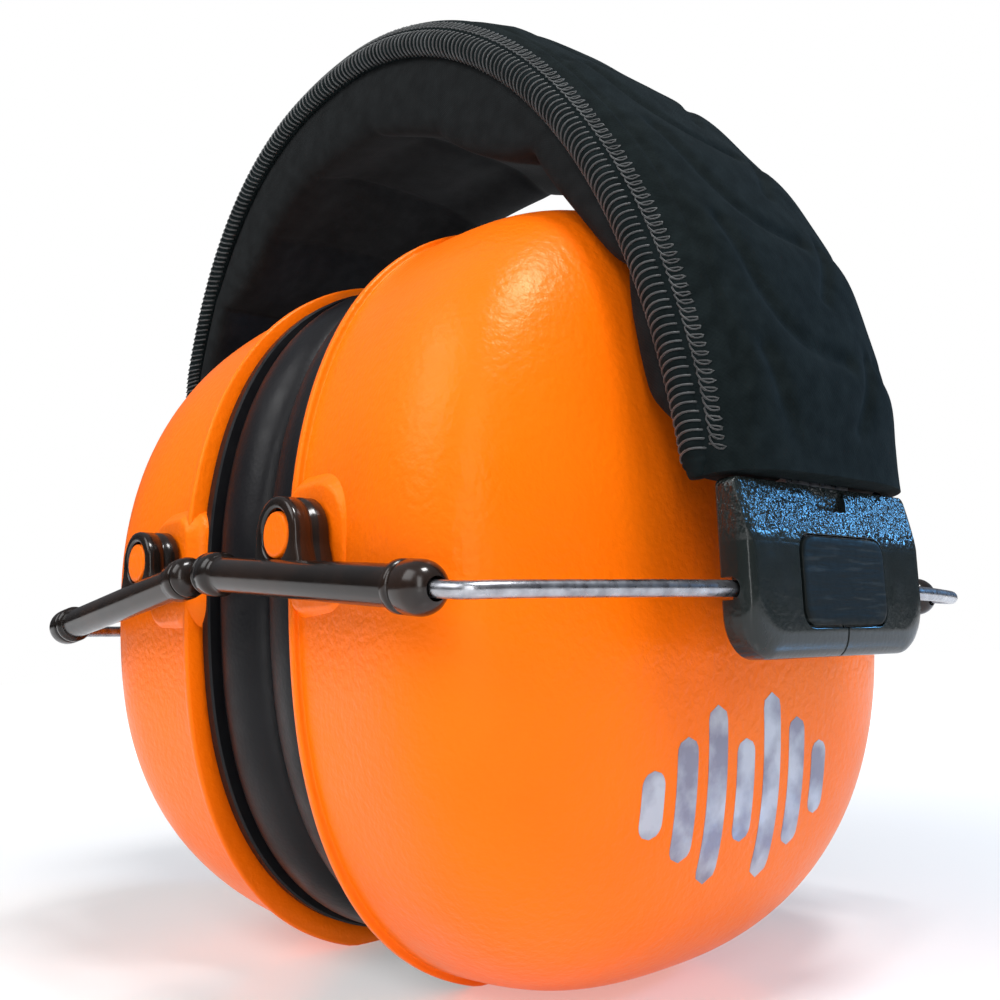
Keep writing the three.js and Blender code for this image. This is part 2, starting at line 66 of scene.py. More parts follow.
BOX = dict(inner=62.9, outer=67.3, half_width=19, bottom=44, top=64.6, corner=5)
PANEL = dict(half_width=9.3, bottom=47.4, top=58.4, corner=2.2)
ARCH = dict(centre=-8, left=76, right=72, base=55, rise=96, right_power=2.25)
TUCK = dict(depth=12, start=62, end=108)
BAND_WIDTH, CROWN_WIDTH = 40, 44
PAD = dict(end=6.5, arm=8, crown=15.5, edge=3.2, lobes=9)
SIDES = (("left", 1), ("right", -1))
ENDS = (("front", -1), ("rear", 1))


# ---------------------------------------------------------------- camera, lights and floor

CAMERA = dict(place=(138.91, -116.33, 45.84), yaw=48.46, pitch=8.13, roll=-1.92, lens=38.37)


def linked(name, data):
    """A new object that is in the scene."""
    made = bpy.data.objects.new(name, data)
    bpy.context.scene.collection.objects.link(made)
    return made


def add_camera():
    """A camera off the left cup's front edge, a little below the cups' middle, looking slightly up."""
    yaw, pitch, roll = (math.radians(CAMERA[angle]) for angle in ("yaw", "pitch", "roll"))
    forward = Vector((-math.sin(yaw) * math.cos(pitch), math.cos(yaw) * math.cos(pitch), math.sin(pitch)))
    level = Vector((math.cos(yaw), math.sin(yaw), 0))
    upright = level.cross(forward)
    right = level * math.cos(roll) + upright * math.sin(roll)
    up = upright * math.cos(roll) - level * math.sin(roll)
    camera = linked("camera", bpy.data.cameras.new("camera"))
    camera.data.lens = CAMERA["lens"]
    camera.data.clip_start = 0.005
    turn = Matrix((right, up, -forward)).transposed().to_4x4()
    camera.matrix_world = Matrix.Translation(Vector(CAMERA["place"]) * MM) @ turn
    bpy.context.scene.camera = camera


def add_light(name, place, target, size, watts, color=(1, 1, 1)):
    """A soft rectangular lamp that faces a target; places are in metres."""
    data = bpy.data.lights.new(name, "AREA")
    data.shape = "RECTANGLE"
    data.size, data.size_y = size
    data.energy = watts
    data.color = color
    lamp = linked(name, data)
    lamp.location = place
    aim = Vector(target) - Vector(place)
    lamp.rotation_mode = "QUATERNION"
    lamp.rotation_quaternion = aim.to_track_quat("-Z", "Y")


def add_world():
    """White behind the object, and dimmer for what the surfaces reflect, darkest from level down."""
    world = bpy.data.worlds.new("studio")
    bpy.context.scene.world = world
    world.use_nodes = True
    nodes = world.node_tree.nodes
    nodes.clear()
    out, mix, seen, lit = (
        nodes.new(f"ShaderNode{kind}") for kind in ("OutputWorld", "MixShader", "Background", "Background"))
    path, coords, split, ramp = (
        nodes.new(f"ShaderNode{kind}") for kind in ("LightPath", "TexCoord", "SeparateXYZ", "ValToRGB"))
    seen.inputs["Color"].default_value = (1, 1, 1, 1)
    lit.inputs["Strength"].default_value = 0.7
    low, high = ramp.color_ramp.elements
    low.position, low.color = 0.0, (0.05, 0.05, 0.055, 1)
    high.position, high.color = 0.9, (0.5, 0.52, 0.56, 1)
    for source, target in (
        (coords.outputs["Generated"], split.inputs[0]),
        (split.outputs["Z"], ramp.inputs["Fac"]),
        (ramp.outputs["Color"], lit.inputs["Color"]),
        (path.outputs["Is Camera Ray"], mix.inputs["Fac"]),
        (lit.outputs[0], mix.inputs[1]),
        (seen.outputs[0], mix.inputs[2]),
        (mix.outputs[0], out.inputs["Surface"]),
    ):
        world.node_tree.links.new(source, target)


def add_floor():
    """A wide pale floor that the cups stand on. It glows, more so away from the object."""
    reach = 3.0
    mesh = bpy.data.meshes.new("floor")
    corners = [(x * reach, y * reach, 0) for x, y in ((-1, -1), (1, -1), (1, 1), (-1, 1))]
    mesh.from_pydata(corners, [], [(0, 1, 2, 3)])
    look = Look("pale_floor", base_color=(0.8, 0.8, 0.8, 1), roughness=0.2)
    away = look.node("ShaderNodeVectorMath", i0=look.coords.outputs["Object"])
    away.operation = "LENGTH"
    glow = look.between(away.outputs["Value"], 0.08, 0.42, 0.3, 0.97)
    look.tree.links.new(glow, look.shader.inputs["Emission Strength"])
    look.shader.inputs["Emission Color"].default_value = (1, 1, 1, 1)
    look.bump(look.noise(60, 3), 0.0001, 0.1)
    mesh.materials.append(look.material)
    linked("floor", mesh)


# ---------------------------------------------------------------- materials

class Look:
    """A material, with short ways to wire its nodes. Values are the shader's inputs, by their names."""

    def __init__(self, name, **values):
        self.material = bpy.data.materials.new(name)
        self.material.use_nodes = True
        self.tree = self.material.node_tree
        self.shader = self.tree.nodes["Principled BSDF"]
        for key, value in values.items():
            self.shader.inputs[key.replace("_", " ").title().replace("Ior", "IOR")].default_value = value
        self.coords = self.tree.nodes.new("ShaderNodeTexCoord")
        self.normal = None

    def node(self, kind, **inputs):
        """A node whose inputs are numbers, colours or other nodes' outputs."""
        made = self.tree.nodes.new(kind)
        for key, value in inputs.items():
            socket = made.inputs[int(key[1:])] if key[0] == "i" and key[1:].isdigit() else made.inputs[key]
            if isinstance(value, bpy.types.NodeSocket):
                self.tree.links.new(value, socket)
            else:
                socket.default_value = value
        return made

    def noise(self, scale, detail, stretch=(1, 1, 1)):
        """Soft noise through the object's own space."""
        mapped = self.node("ShaderNodeMapping", Vector=self.coords.outputs["Object"], Scale=stretch)
        made = self.node("ShaderNodeTexNoise", Vector=mapped.outputs[0], Scale=scale, Detail=detail)
        return made.outputs["Fac"]

    def spots(self, scale):
        """Distance to the nearest of many scattered points."""
        cells = self.node("ShaderNodeTexVoronoi", Vector=self.coords.outputs["Object"], Scale=scale)
        return cells.outputs["Distance"]

    def weave(self, pitch):
        """Crossed ribs over a surface whose UVs are in millimetres."""
        split = self.node("ShaderNodeSeparateXYZ", Vector=self.coords.outputs["UV"])
        turns = [self.math("MULTIPLY", split.outputs[axis], 2 * math.pi / pitch) for axis in "XY"]
        return self.math("MULTIPLY", self.math("SINE", turns[0]), self.math("SINE", turns[1]))

    def math(self, operation, a, b=0.0):
        made = self.node("ShaderNodeMath", i0=a, i1=b)
        made.operation = operation
        return made.outputs[0]

    def between(self, value, low, high, start=0.0, end=1.0):
        """Value from low to high, spread over start to end and held there."""
        made = self.node("ShaderNodeMapRange", Value=value)
        for key, number in (("From Min", low), ("From Max", high), ("To Min", start), ("To Max", end)):
            made.inputs[key].default_value = number
        return made.outputs[0]

    def tint(self, factor, first, second):
        """Base colour between two colours."""
        made = self.tree.nodes.new("ShaderNodeMix")
        made.data_type = "RGBA"
        self.tree.links.new(factor, made.inputs["Factor"])
        colors = [socket for socket in made.inputs if socket.type == "RGBA"]
        colors[0].default_value, colors[1].default_value = (*first, 1), (*second, 1)
        mixed = next(socket for socket in made.outputs if socket.type == "RGBA")
        self.tree.links.new(mixed, self.shader.inputs["Base Color"])

    def mottle(self, scale, detail, low, high, first, second):
        """Base colour that varies with noise."""
        self.tint(self.between(self.noise(scale, detail), low, high), first, second)

    def rough(self, scale, detail, low, high):
        """Roughness that varies with noise."""
        varied = self.between(self.noise(scale, detail), 0.3, 0.7, low, high)
        self.tree.links.new(varied, self.shader.inputs["Roughness"])

    def bump(self, height, distance, strength=1.0):
        """Adds a height in metres to the surface's relief."""
        made = self.node("ShaderNodeBump", Height=height, Distance=distance, Strength=strength)
        if self.normal:
            self.tree.links.new(self.normal, made.inputs["Normal"])
        self.normal = made.outputs[0]
        self.tree.links.new(self.normal, self.shader.inputs["Normal"])


WEAVE_PITCH = 0.55


def orange_plastic():
    look = Look("orange_plastic", specular_ior_level=0.27, specular_tint=(1.0, 0.82, 0.36, 1))
    look.mottle(28, 3, 0.35, 0.65, (0.96, 0.148, 0.001), (0.96, 0.166, 0.002))
    look.rough(160, 3, 0.31, 0.39)
    look.bump(look.noise(950, 2.5), 0.00022, 0.6)
    look.bump(look.noise(2600, 1), 0.00002, 0.5)
    return look.material


def cushion_vinyl():
    look = Look("cushion_vinyl", specular_ior_level=0.2)
    look.rough(240, 3, 0.33, 0.47)
    look.bump(look.noise(160, 2, (1, 1, 0.35)), 0.0004, 0.35)
    look.bump(look.spots(1500), 0.00005, 0.35)
    look.mottle(70, 2, 0.4, 0.7, (0.0030, 0.0030, 0.0042), (0.0065, 0.0062, 0.0075))
    return look.material


def cover_fabric():
    look = Look("cover_fabric", roughness=0.9, specular_ior_level=0.07, sheen_weight=0.01,
                sheen_roughness=0.4, sheen_tint=(0.35, 0.55, 0.62, 1))
    look.mottle(420, 4, 0.35, 0.7, (0.0028, 0.0052, 0.0056), (0.0062, 0.0100, 0.0108))
    look.bump(look.noise(110, 2), 0.0006, 0.25)
    look.bump(look.weave(WEAVE_PITCH), 0.00004, 0.3)
    look.bump(look.noise(2200, 2), 0.00009, 0.6)
    return look.material


def pad_lining():
    look = Look("pad_lining", roughness=0.75, specular_ior_level=0.1, sheen_weight=0.01, sheen_roughness=0.5)
    look.mottle(380, 3, 0.35, 0.7, (0.0034, 0.0042, 0.0046), (0.0072, 0.0086, 0.0092))
    look.bump(look.noise(90, 2), 0.0008, 0.25)
    look.bump(look.weave(WEAVE_PITCH), 0.00004, 0.3)
    look.bump(look.noise(1800, 2), 0.00006, 0.5)
    return look.material


def seam_thread():
    look = Look("seam_thread", roughness=0.5, sheen_weight=0.2)
    look.mottle(300, 2, 0.35, 0.65, (0.008, 0.010, 0.0105), (0.027, 0.031, 0.032))
    look.bump(look.noise(5000, 1), 0.00005, 0.6)
    return look.material


def sleeve_plastic():
    look = Look("sleeve_plastic", specular_ior_level=0.36)
    look.mottle(120, 2, 0.4, 0.7, (0.007, 0.005, 0.004), (0.017, 0.009, 0.006))
    look.rough(500, 3, 0.13, 0.24)
    look.bump(look.noise(350, 2), 0.00005, 0.4)
    return look.material


def box_plastic():
    look = Look("box_plastic", specular_ior_level=0.32)
    # painted highlight: the colour is lighter along the box's sharp convex edges
    edge_highlight = look.between(look.node("ShaderNodeNewGeometry").outputs["Pointiness"], 0.54, 0.62)
    look.tint(edge_highlight, (0.010, 0.0135, 0.013), (0.022, 0.027, 0.027))
    look.rough(300, 3, 0.17, 0.23)
    height = look.node("ShaderNodeSeparateXYZ", Vector=look.coords.outputs["Object"]).outputs["Z"]
    shoulder = look.between(height, 57.2 * MM, 59.2 * MM, 0.08, 1.0)
    grain = look.math("MULTIPLY", look.noise(1450, 2.5, (1, 1, 0.7)), shoulder)
    look.bump(grain, 0.00034, 1.0)
    look.bump(look.noise(2400, 1), 0.00002, 0.5)
    return look.material


def panel_plastic():
    look = Look("panel_plastic", specular_ior_level=0.08)
    scuffs = look.between(look.noise(400, 4, (1, 0.25, 2.5)), 0.56, 0.68)
    look.tint(scuffs, (0.005, 0.007, 0.007), (0.02, 0.024, 0.024))
    look.rough(700, 3, 0.38, 0.6)
    look.bump(look.noise(350, 4, (1, 0.25, 2.5)), 0.00015, 0.6)
    return look.material


def plate_plastic():
    look = Look("plate_plastic", base_color=(0.006, 0.006, 0.007, 1), specular_ior_level=0.2)
    look.rough(400, 2, 0.3, 0.45)
    look.bump(look.noise(1200, 2), 0.00004, 0.4)
    return look.material


def wire_steel():
    look = Look("wire_steel", metallic=1.0)
    look.mottle(500, 3, 0.35, 0.7, (0.24, 0.24, 0.26), (0.42, 0.43, 0.46))
    look.rough(900, 3, 0.22, 0.38)
    look.bump(look.noise(1600, 3), 0.00003, 0.4)
    return look.material


def screw_steel():
    look = Look("screw_steel", base_color=(0.45, 0.45, 0.45, 1), metallic=1.0)
    look.rough(1500, 3, 0.28, 0.5)
    look.bump(look.noise(2500, 2), 0.00002, 0.5)
    return look.material


def absorber_foam():
    look = Look("absorber_foam", roughness=0.95, sheen_weight=0.15)
    # painted shade: darker in the pits that the bump sinks at the cells' centres, lighter on the ridges
    # between them
    look.tint(look.between(look.spots(900), 0.1, 0.6), (0.014, 0.015, 0.016), (0.075, 0.078, 0.082))
    look.bump(look.spots(900), 0.0004, 0.8)
    return look.material


def silver_print():
    look = Look("silver_print", metallic=0.35)
    look.mottle(170, 5, 0.38, 0.62, (0.22, 0.21, 0.27), (0.46, 0.47, 0.52))
    look.rough(300, 4, 0.3, 0.5)
    look.bump(look.noise(900, 2.5), 0.00009, 0.5)
    return look.material


# ---------------------------------------------------------------- mesh helpers

def smoothstep(low, high, value):
    t = np.clip((np.asarray(value, float) - low) / (high - low), 0, 1)
    return t * t * (3 - 2 * t)


def lengths(points):
    """The length along a line up to each of its points."""
    return np.concatenate([[0], np.cumsum(np.linalg.norm(np.diff(points, axis=0), axis=1))])


def circle(across, beside, sides):
    """A unit circle's points in the plane of two directions."""
    angles = np.linspace(0, 2 * math.pi, sides, endpoint=False)
    return np.outer(np.cos(angles), across) + np.outer(np.sin(angles), beside)


def in_frame(points, side=1):
    """Millimetres from the plane between the cups, to metres in the row frame."""
    made = np.array(points, float).reshape(-1, 3)
    made[:, 0] = made[:, 0] * side + CUPS_X
    return made * MM


class Shape:
    """Points and faces of one piece, which may be several closed bodies."""

    def __init__(self):
        self.points, self.faces, self.count = [], [], 0

    def loft(self, rings, closed=False, poles=False):
        """Skins rings of equal length. Open lofts get a flat cap at each end, or a pole at its middle."""
        rings = np.asarray(rings, float)
        rows, columns = rings.shape[:2]
        points = rings.reshape(-1, 3)
        faces = []
        for r in range(rows if closed else rows - 1):
            a, b = r * columns, ((r + 1) % rows) * columns
            for i in range(columns):
                j = (i + 1) % columns
                faces.append((a + i, a + j, b + j, b + i))
        if not closed and poles:
            for ring, start in ((rings[0], 0), (rings[-1], (rows - 1) * columns)):
                points = np.vstack([points, ring.mean(axis=0)])
                pole = len(points) - 1
                faces += [(start + i, start + (i + 1) % columns, pole) for i in range(columns)]
        elif not closed:
            faces.append(tuple(range(columns)))
            faces.append(tuple((rows - 1) * columns + i for i in range(columns)))
        self.faces += [tuple(i + self.count for i in face) for face in faces]
        self.points.append(points)
        self.count += len(points)

    def turned(self, profile, origin, axis, sides=64, closed=False):
        """Spins (radius, distance) points round an axis from an origin."""
        axis = Vector(axis).normalized()
        across = axis.orthogonal().normalized()
        ring = circle(across, axis.cross(across), sides)
        self.loft([np.array(origin) + np.array(axis) * d + ring * max(r, 1e-3) for r, d in profile], closed)

    def tube(self, path, radius, sides):
        """A round tube along points, with flat ends."""
        path = np.asarray(path, float)
        tangents = np.gradient(path, axis=0)
        tangents /= np.linalg.norm(tangents, axis=1)[:, None]
        across = np.array(Vector(tangents[0]).orthogonal().normalized())
        rings = []
        for point, tangent in zip(path, tangents):
            across = across - tangent * across.dot(tangent)
            across /= np.linalg.norm(across)
            rings.append(point + radius * circle(across, np.cross(tangent, across), sides))
        self.loft(rings)

    def joined(self):
        return np.vstack(self.points)


def lofted(rings):
    shape = Shape()
    shape.loft(rings)
    return shape


def spread(points, count, closed=False):
    """The same line with points evenly along it."""
    points = np.asarray(points, float)
    if closed:
        points = np.vstack([points, points[:1]])
    length = lengths(points)
    at = np.linspace(0, length[-1], count, endpoint=not closed)
    return np.stack([np.interp(at, length, points[:, k]) for k in range(points.shape[1])], axis=1)


def rounded(points, passes):
    """Cuts the corners of an open line, keeping its ends."""
    points = np.asarray(points, float)
    for _ in range(passes):
        near = points[:-1] * 0.75 + points[1:] * 0.25
        far = points[:-1] * 0.25 + points[1:] * 0.75
        middle = np.stack([near, far], axis=1).reshape(-1, points.shape[1])
        points = np.vstack([points[:1], middle, points[-1:]])
    return points


def closed_mesh(name, points, faces, crease=None):
    """A smooth mesh that faces outwards. crease is the angle in degrees that stays sharp."""
    mesh = bpy.data.meshes.new(name)
    mesh.from_pydata(points.tolist(), [], faces)
    built = bmesh.new()
    built.from_mesh(mesh)
    bmesh.ops.recalc_face_normals(built, faces=built.faces)
    for face in built.faces:
        face.smooth = True
    if crease:
        for edge in built.edges:
            if len(edge.link_faces) == 2 and edge.calc_face_angle() > math.radians(crease):
                edge.smooth = False
    built.to_mesh(mesh)
    built.free()
    return mesh


def inflate(shape, columns, pinned, cap):
    """Swells a loft as cloth under pressure, with some columns sewn down. A point moves cap mm at most."""
    frames = 20
    start = shape.joined() * MM
    cloth = linked("cloth", closed_mesh("cloth", start, shape.faces))
    sewn = cloth.vertex_groups.new(name="sewn")
    index = np.arange(shape.count).reshape(-1, columns)[:, pinned].ravel()
    sewn.add(index.tolist(), 1.0, "REPLACE")
    modifier = cloth.modifiers.new("cloth", "CLOTH")
    settings = modifier.settings
    settings.quality, settings.mass = 4, 0.3
    settings.tension_stiffness = settings.compression_stiffness = 12
    settings.shear_stiffness, settings.bending_stiffness = 6, 0.3
    settings.use_pressure, settings.uniform_pressure_force = True, 4
    settings.vertex_group_mass = "sewn"
    settings.effector_weights.gravity = 0
    modifier.point_cache.frame_start, modifier.point_cache.frame_end = 1, frames
    modifier.collision_settings.use_collision = False
    for step in range(1, frames + 1):
        bpy.context.scene.frame_set(step)
    settled = cloth.evaluated_get(bpy.context.evaluated_depsgraph_get()).to_mesh()
    moved = np.zeros(len(start) * 3)
    settled.vertices.foreach_get("co", moved)
    moved = moved.reshape(-1, 3) - start
    length = np.linalg.norm(moved, axis=1)[:, None]
    moved *= np.minimum(1, cap * MM / np.maximum(length, 1e-9))
    shape.points = [(start + moved) / MM]
    bpy.context.scene.frame_set(1)
    bpy.data.objects.remove(cloth)


def piece(name, shape, look, body, side=1, replaces=(), crease=None, uv=None):
    """Makes a shape an object that rides on a body. uv has a place in millimetres for each point."""
    mesh = closed_mesh(name, in_frame(shape.joined(), side), shape.faces, crease)
    if uv is not None:
        layer = mesh.uv_layers.new(name="surface")
        corner = np.zeros(len(mesh.loops), int)
        mesh.loops.foreach_get("vertex_index", corner)
        layer.data.foreach_set("uv", np.asarray(uv, np.float32)[corner].ravel())
    made = linked(name, mesh)
    mesh.materials.append(look)
    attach(made, body)
    if replaces:
        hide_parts(*replaces)
    return made


def subdivide(made):
    """One subdivision, in renders too."""
    modifier = made.modifiers.new("smooth", "SUBSURF")
    modifier.levels = modifier.render_levels = 1


# ---------------------------------------------------------------- ear cups

def oval(x, width, above, below=None, middle=CUP_HEIGHT / 2, floor=0.0, count=256):
    """A ring whose halves are superellipses, flat where it would pass below the floor."""
    below = above if below is None else below
    angles = np.linspace(0, 2 * math.pi, 1440, endpoint=False)
    c, s = np.cos(angles), np.sin(angles)
    power = BOTTOM_POWER + (TOP_POWER - BOTTOM_POWER) * smoothstep(-0.3, 0.3, s)
    y = width / 2 * np.sign(c) * np.abs(c) ** (2 / power)
    rise = np.where(s > 0, above, below) * np.sign(s) * np.abs(s) ** (2 / power)
    line = spread(np.stack([y, np.maximum(middle + rise, floor)], axis=1), count, closed=True)
    return np.column_stack([np.full(count, x), line])


def crown_size(depth):
    """The share of the rim's size that is left at a depth, which is 0 at the rim and 1 at the crown."""
    return (1 - depth ** 4.5) ** 0.288


def cup_oval(depth, x, offset, floor):
    """The cup's outline at a depth, moved in by an offset."""
    size = crown_size(depth)
    half = CUP_HEIGHT / 2 * size
    width = max(CUP_WIDTH * size * (1 + BULGE * depth ** 2) - 2 * offset, 0.02)
    above = max(half * (1 - TOP_TAPER * depth ** 2) - offset, 0.01)
    below = max(half * (1 - BOTTOM_TAPER * depth ** 2) - offset, 0.01)
    return oval(x, width, above, below, CUP_HEIGHT / 2 - FOOT_CUT, floor)


def wall_depths(start, count):
    """Depths from a start to the crown, evenly spaced along the wall's section."""
    depth = 1 - np.linspace(1 - start, 0, 4000) ** 2 / (1 - start)
    depth = np.clip(depth, start, 1 - 1e-9)
    length = lengths(np.column_stack([depth * (CROWN_X - RIM_X), CUP_WIDTH / 2 * crown_size(depth)]))
    return np.interp(np.linspace(0, length[-1], count), length, depth)


def stud_pad(shape, end):
    """The raised pad behind a lug, flared into the wall, and the stud that the lug turns on."""
    x0, x1 = RIM_X + 0.2, STUD["x"] + 7
    z0, z1 = STUD["z"] - 9, STUD["z"] + 6.5
    corners = ((x1, z1, 0, 6.0), (x0, z1, 90, 3.0), (x0, z0, 180, 3.0), (x1, z0, 270, 4.0))
    face = LUG["inner"] - GAP
    rings = []
    for below, grow in ((4, 2.6), (2, 1.9), (1.2, 1.3), (0.7, 0.75), (0.3, 0.35), (0.06, 0.05), (0, -0.35)):
        line = []
        for cx, cz, start, corner in corners:
            mx = cx - math.copysign(corner, math.cos(math.radians(start + 45)))
            mz = cz - math.copysign(corner, math.sin(math.radians(start + 45)))
            for step in range(11):
                a = math.radians(start + step * 9)
                reach = corner + grow
                line.append((mx + reach * math.cos(a), end * (face - below), mz + reach * math.sin(a)))
        rings.append(line)
    shape.loft(rings, poles=True)
    r, tip, root = STUD["radius"], STUD["face"], 43
    profile = [(0, root), (r, root), (r, tip - 0.35), (r - 0.1, tip - 0.1), (r - 0.35, tip), (r - 0.8, tip),
               (0, tip - 0.06)]
    shape.turned(profile, (STUD["x"], 0, STUD["z"]), (0, end, 0))


def cup_shell(name, side, look):
    """The hollow cup with its rim, and a pad and stud at each end."""
    shape = Shape()
    lip = [(0, -0.45), (0.08, -0.75), (0.3, -LIP), (1.05, -LIP), (1.25, -0.8), (1.33, -0.5), (1.36, -0.15),
           (1.5, 0.0)]
    rings = [cup_oval(0.0, RIM_X + dx, offset, 0) for dx, offset in lip]
    span = CROWN_X - RIM_X
    for depth in wall_depths(0.045, 60)[:-1]:
        rings.append(cup_oval(depth, RIM_X + span * depth, 0, 0))
    inner = [cup_oval(0.0, RIM_X, 0.6, 0.9), cup_oval(0.0, RIM_X, WALL - 0.4, WALL - 0.4),
             cup_oval(0.0, RIM_X + 0.4, WALL, WALL)]
    for depth in wall_depths(0.03, 30)[:-1]:
        inner.append(cup_oval(depth, RIM_X + (span - WALL) * depth, WALL, WALL))
    shape.loft(inner[::-1] + rings, poles=True)
    for _, end in ENDS:
        stud_pad(shape, end)
    return piece(f"cup_{name}", shape, look, f"cup_{name}", side, [f"cup_shell_{name}"])


def print_bars(cup, look):
    """A generic printed pattern: rounded bars of different heights on the left cup's outer face."""
    tree = BVHTree.FromObject(cup, bpy.context.evaluated_depsgraph_get())
    heights = (8, 15, 22, 13, 24, 17, 10)
    width, pitch, middle_y, middle_z = 3.7, 5.7, -1.5, 27.5
    front, back = 0.045, -0.12

    def on_cup(y, z, lift):
        """The cup's outer face at y and z, raised by a lift."""
        start = Vector(((CUPS_X + 80) * MM, y * MM, z * MM))
        hit, normal, _, _ = tree.ray_cast(start, Vector((-1, 0, 0)))
        point = (hit + normal * lift * MM) / MM
        return point.x - CUPS_X, point.y, point.z

    shape = Shape()
    for k, height in enumerate(heights):
        centre = middle_y + (k - (len(heights) - 1) / 2) * pitch
        rings = []
        for rise in np.linspace(-height / 2, height / 2, 25):
            beyond = max(0.0, abs(rise) - (height - width) / 2)
            half = math.sqrt(max((width / 2) ** 2 - beyond ** 2, 0.0004))
            row = [(centre + half * u, middle_z + rise) for u in np.linspace(-1, 1, 7)]
            line = [on_cup(y, z, front) for y, z in row]
            rings.append(line + [on_cup(y, z, back) for y, z in row[::-1]])
        shape.loft(rings)
    piece("cup_print", shape, look, "cup_left", crease=40)


def foam_liner(name, side, look):
    """The foam dish in the cup's crown, its surface roughened by small random shifts."""
    stations = ((31.3, 8, 10), (31.0, 30, 40), (31.2, 50, 64), (31.4, 71, 87), (31, 74, 90), (31.8, 76, 92),
                (36, 73, 88), (40, 70, 84), (45.5, 55, 65), (46.5, 50, 60))
    shape = Shape()
    shape.loft([oval(x, width, height / 2, count=160) for x, width, height in stations], poles=True)
    rng = np.random.default_rng(7)
    points = shape.joined()
    shape.points = [points + rng.normal(0, 0.12, points.shape)]
    piece(f"foam_{name}", shape, look, f"cup_{name}", side, [f"foam_liner_{name}"])


def cushion_plate(name, side, look):
    """The flat ring that carries the cushion and snaps to the rim."""
    back, front = RIM_X - GAP, CUSHION_BACK + GAP
    rings = []
    for x, inset in ((back, 0.3), (back - 0.25, 0.0), (front + 0.3, 0.0), (front, 0.3)):
        rings.append(oval(x, CUP_WIDTH - 3 - 2 * inset, (CUP_HEIGHT - 3) / 2 - inset, floor=0.6))
    for x in (front, back):
        rings.append(oval(x, OPENING_WIDTH + 2, (OPENING_HEIGHT + 2) / 2))
    shape = Shape()
    shape.loft(rings, closed=True)
    piece(f"cushion_plate_look_{name}", shape, look, f"cup_{name}", side,
          [f"cushion_plate_{name}"], crease=35)


def cushion_shape():
    """Vinyl-covered foam ring: flat where the two cushions meet, swollen over its edges."""
    face = CUSHION_GAP
    # x, and the share of the way in from the outer edge to the opening
    section = [(CUSHION_BACK, 0.10), (CUSHION_BACK - 0.8, 0.03), (9.0, 0.0), (6.0, 0.005), (3.2, 0.04),
               (1.3, 0.11), (face + 0.12, 0.22), (face, 0.36), (face, 0.6), (face + 0.3, 0.76), (1.8, 0.88),
               (4.2, 0.95), (7.5, 0.985), (CUSHION_BACK - 1, 0.98), (CUSHION_BACK, 0.92)]
    columns, share_scale = 40, (1, 20)
    rings = []
    for x, across in spread(rounded(section, 3) * share_scale, columns) / share_scale:
        width = (CUP_WIDTH - 4) + (OPENING_WIDTH - CUP_WIDTH + 4) * across
        height = (CUP_HEIGHT - 4) + (OPENING_HEIGHT - CUP_HEIGHT + 4) * across
        rings.append(oval(x, width, height / 2, count=150))
    shape = Shape()
    shape.loft(np.swapaxes(rings, 0, 1), closed=True)
    inflate(shape, columns, [0, 1, columns - 2, columns - 1], 1.1)
    points = shape.joined()
    points[:, 0] = np.clip(points[:, 0], face, CUSHION_BACK)
    points[:, 2] = np.maximum(points[:, 2], 0.8)
    shape.points = [points]
    return shape


def cushion(name, side, shape, look):
    """A cushion, which stands for both the vinyl skin and the foam core."""
    made = piece(f"cushion_{name}", shape, look, f"cup_{name}", side,
                 [f"cushion_skin_{name}", f"cushion_core_{name}"])
    subdivide(made)


# ---------------------------------------------------------------- sleeves and yokes

def arm_line(end):
    """Origin at a sleeve's ball, and the direction inwards along its arm."""
    origin = np.array([BALL["x"], end * BALL["y"], BALL["z"]])
    return origin, np.array([-math.cos(ARM_RISE), 0, math.sin(ARM_RISE)])


def sleeve(name, side, end_name, end, look):
    """A sleeve: ball mouth, collar, tube, end flange and lug."""
    origin, axis = arm_line(end)
    ball, last = BALL["radius"], SLEEVE_LENGTH
    mouth = math.sqrt(ball ** 2 - MOUTH_RADIUS ** 2)
    start = math.asin(MOUTH_RADIUS / ball)
    outer = [(ball * math.sin(a), -ball * math.cos(a)) for a in np.linspace(start, math.pi / 2, 14)]
    outer += [(ball, 1.6), (ball - 0.1, 1.9), (ball - 0.45, 2.05), (ball - 0.45, 2.3), (ball - 0.1, 2.45),
              (ball - 0.02, 2.7), (ball - 0.02, 3.3), (ball - 0.2, 3.55), (TUBE_RADIUS, 3.8)]
    outer += [(TUBE_RADIUS, d) for d in np.linspace(4.5, last - 4, 12)]
    outer += [(TUBE_RADIUS, last - 3.1), (ball - 0.35, last - 2.8), (ball, last - 2.5), (ball, last - 0.3),
              (ball - 0.2, last)]
    bore = [(BORE_RADIUS, last), (BORE_RADIUS, 3.6), (MOUTH_RADIUS, 2.8), (MOUTH_RADIUS, -mouth)]
    shape = Shape()
    shape.turned(outer + bore, origin, axis, closed=True)
    lug(shape, end)
    piece(f"sleeve_look_{name}_{end_name}", shape, look, f"sleeves_{name}", side,
          [f"sleeve_{name}_{end_name}"], crease=50)


def sleeve_cap(name, side, end_name, end, look):
    """The domed cap that shuts a sleeve's far end, with its plug in the bore."""
    r, plug = BALL["radius"] - 0.1, BORE_RADIUS - GAP
    profile = ((0, -2.4), (plug, -2.4), (plug, GAP), (r - 0.2, GAP), (r, 0.5), (r, 0.8), (r - 0.35, 1.5),
               (r - 1.1, 2.0), (r - 2, 2.2), (0, 2.3))
    shape = Shape()
    shape.turned([(radius, SLEEVE_LENGTH + d) for radius, d in profile], *arm_line(end))
    piece(f"sleeve_cap_look_{name}_{end_name}", shape, look, f"sleeves_{name}", side,
          [f"sleeve_cap_{name}_{end_name}"], crease=50)


